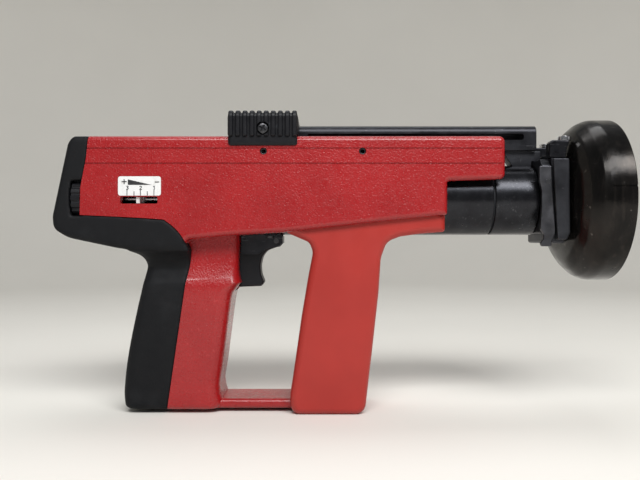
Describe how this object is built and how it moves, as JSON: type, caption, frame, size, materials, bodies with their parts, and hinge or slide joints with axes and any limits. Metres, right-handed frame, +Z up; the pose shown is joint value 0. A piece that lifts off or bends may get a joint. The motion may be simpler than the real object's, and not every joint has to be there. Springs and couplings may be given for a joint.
{
  "type": "powder-actuated nail gun",
  "caption": "Powder-actuated nail gun with strip feed through its grip, sliding barrel, ribbed slide handle, power wheel and bell-shaped spall shield.",
  "frame": {"origin": "centre of the nosepiece bore at the working face, which the shield's rim also lies in", "axes": "+X along the barrel axis towards the muzzle, +Z up away from the grip, +Y to the tool's left"},
  "size_m": [0.3409, 0.1006, 0.1832],
  "materials": {
    "red_paint": "fine hammered red paint",
    "guard_plastic": "satin orange-red moulding",
    "black_rubber": "matt black rubber",
    "buffer_rubber": "matt black rubber",
    "black_plastic": "satin black moulding",
    "white_plate": "printed white plate",
    "pointer_white": "white moulding",
    "screw_steel": "dark phosphated steel",
    "bright_steel": "ground steel",
    "spring_steel": "drawn spring wire",
    "grey_steel": "grey phosphated steel",
    "bearing_bronze": "machined bronze",
    "black_steel": "black oxide steel with worn edges",
    "worn_shield": "worn brown-black steel"
  },
  "bodies": {
    "housing": {"housing_right": "red_paint", "housing_left": "red_paint", "grip_cover": "black_rubber", "front_guard": "guard_plastic", "housing_screws": "screw_steel", "cross_pins": "screw_steel", "guard_screw": "screw_steel", "scale_plate": "white_plate", "rear_plate": "grey_steel", "breech_plate": "grey_steel", "pin_housing": "grey_steel", "strip_guide": "grey_steel", "guide_saddle": "bearing_bronze", "spring_seat": "grey_steel", "trigger_bracket": "black_steel", "bracket_screws": "screw_steel", "trigger_pin": "bright_steel", "sear_pin": "bright_steel", "pawl_pin": "bright_steel", "contact_spring": "spring_steel", "trigger_spring": "spring_steel", "firing_spring": "spring_steel", "sear_spring": "spring_steel", "pawl_spring": "spring_steel"},
    "contact_sleeve": {"contact_sleeve": "bright_steel"},
    "barrel_unit": {"barrel": "black_steel", "barrel_collar": "black_steel", "joint_ring": "black_steel", "brake_ring": "bright_steel", "buffer": "buffer_rubber", "nose_plate": "black_steel", "nosepiece": "bright_steel", "shield_holder": "black_steel", "top_clip": "black_steel", "clip_screws": "bright_steel", "slide_lug": "black_steel", "lug_rivets": "screw_steel", "slide_bar": "black_steel", "slide_handle": "black_plastic", "handle_screws": "screw_steel", "latch_pin": "bright_steel", "latch_spring": "spring_steel"},
    "piston": {"piston": "bright_steel", "piston_rings": "grey_steel"},
    "latch_lever": {"latch_lever": "grey_steel"},
    "shield": {"shield": "worn_shield", "shield_ring": "buffer_rubber"},
    "trigger": {"trigger": "black_plastic"},
    "sear": {"sear": "grey_steel"},
    "feed_pawl": {"feed_pawl": "grey_steel"},
    "firing_pin": {"firing_pin": "bright_steel"},
    "power_wheel": {"power_wheel": "black_plastic", "wheel_spindle": "bright_steel"},
    "power_indicator": {"power_indicator": "pointer_white"}
  },
  "joints": [
    {"name": "muzzle_press", "type": "slide", "parent": "housing", "child": "contact_sleeve", "axis": [1, 0, 0], "range_m": [-0.012, 0], "stiffness_N_per_m": 4000, "springref_m": 0.012, "deforming": ["contact_spring"]},
    {"name": "slide_draw", "type": "slide", "parent": "contact_sleeve", "child": "barrel_unit", "axis": [1, 0, 0], "range_m": [0, 0.1]},
    {"name": "piston_stroke", "type": "slide", "parent": "barrel_unit", "child": "piston", "axis": [1, 0, 0], "range_m": [0, 0.048]},
    {"name": "latch_swing", "type": "hinge", "parent": "barrel_unit", "child": "latch_lever", "pos_m": [-0.0438, -0.0258, 0.01], "axis": [0, 1, 0], "range_deg": [0, 12], "stiffness_Nm_per_rad": 0.05, "springref_deg": -22.92, "deforming": ["latch_spring"]},
    {"name": "shield_pull", "type": "slide", "parent": "barrel_unit", "child": "shield", "axis": [1, 0, 0], "range_m": [0, 0.03]},
    {"name": "trigger_pull", "type": "hinge", "parent": "housing", "child": "trigger", "pos_m": [-0.2075, 0, -0.0257], "axis": [0, 1, 0], "range_deg": [0, 10], "stiffness_Nm_per_rad": 0.5, "springref_deg": -17.19, "deforming": ["trigger_spring"]},
    {"name": "sear_release", "type": "hinge", "parent": "housing", "child": "sear", "pos_m": [-0.265, 0.0115, -0.028], "axis": [0, 1, 0], "range_deg": [-11, 0], "deforming": ["sear_spring"]},
    {"name": "pawl_swing", "type": "hinge", "parent": "housing", "child": "feed_pawl", "pos_m": [-0.266, 0.013, 0.02], "axis": [1, 0, 0], "range_deg": [0, 15], "stiffness_Nm_per_rad": 0.02, "springref_deg": -22.92, "deforming": ["pawl_spring"]},
    {"name": "firing_pin_slide", "type": "slide", "parent": "housing", "child": "firing_pin", "axis": [1, 0, 0], "range_m": [-0.01, 0], "stiffness_N_per_m": 800, "springref_m": 0.008, "deforming": ["firing_spring"]},
    {"name": "wheel_turn", "type": "hinge", "parent": "housing", "child": "power_wheel", "pos_m": [-0.3264, -0.0155, 0], "axis": [1, 0, 0], "range_deg": [-148, 211]},
    {"name": "indicator_travel", "type": "slide", "parent": "housing", "child": "power_indicator", "axis": [1, 0, 0], "range_m": [-0.0067, 0.0095]}
  ],
  "couplings": [
    {"joint": "sear_release", "follows": "trigger_pull", "ratio": -1.05},
    {"joint": "indicator_travel", "follows": "wheel_turn", "m_per_rad": 0.0025465}
  ]
}
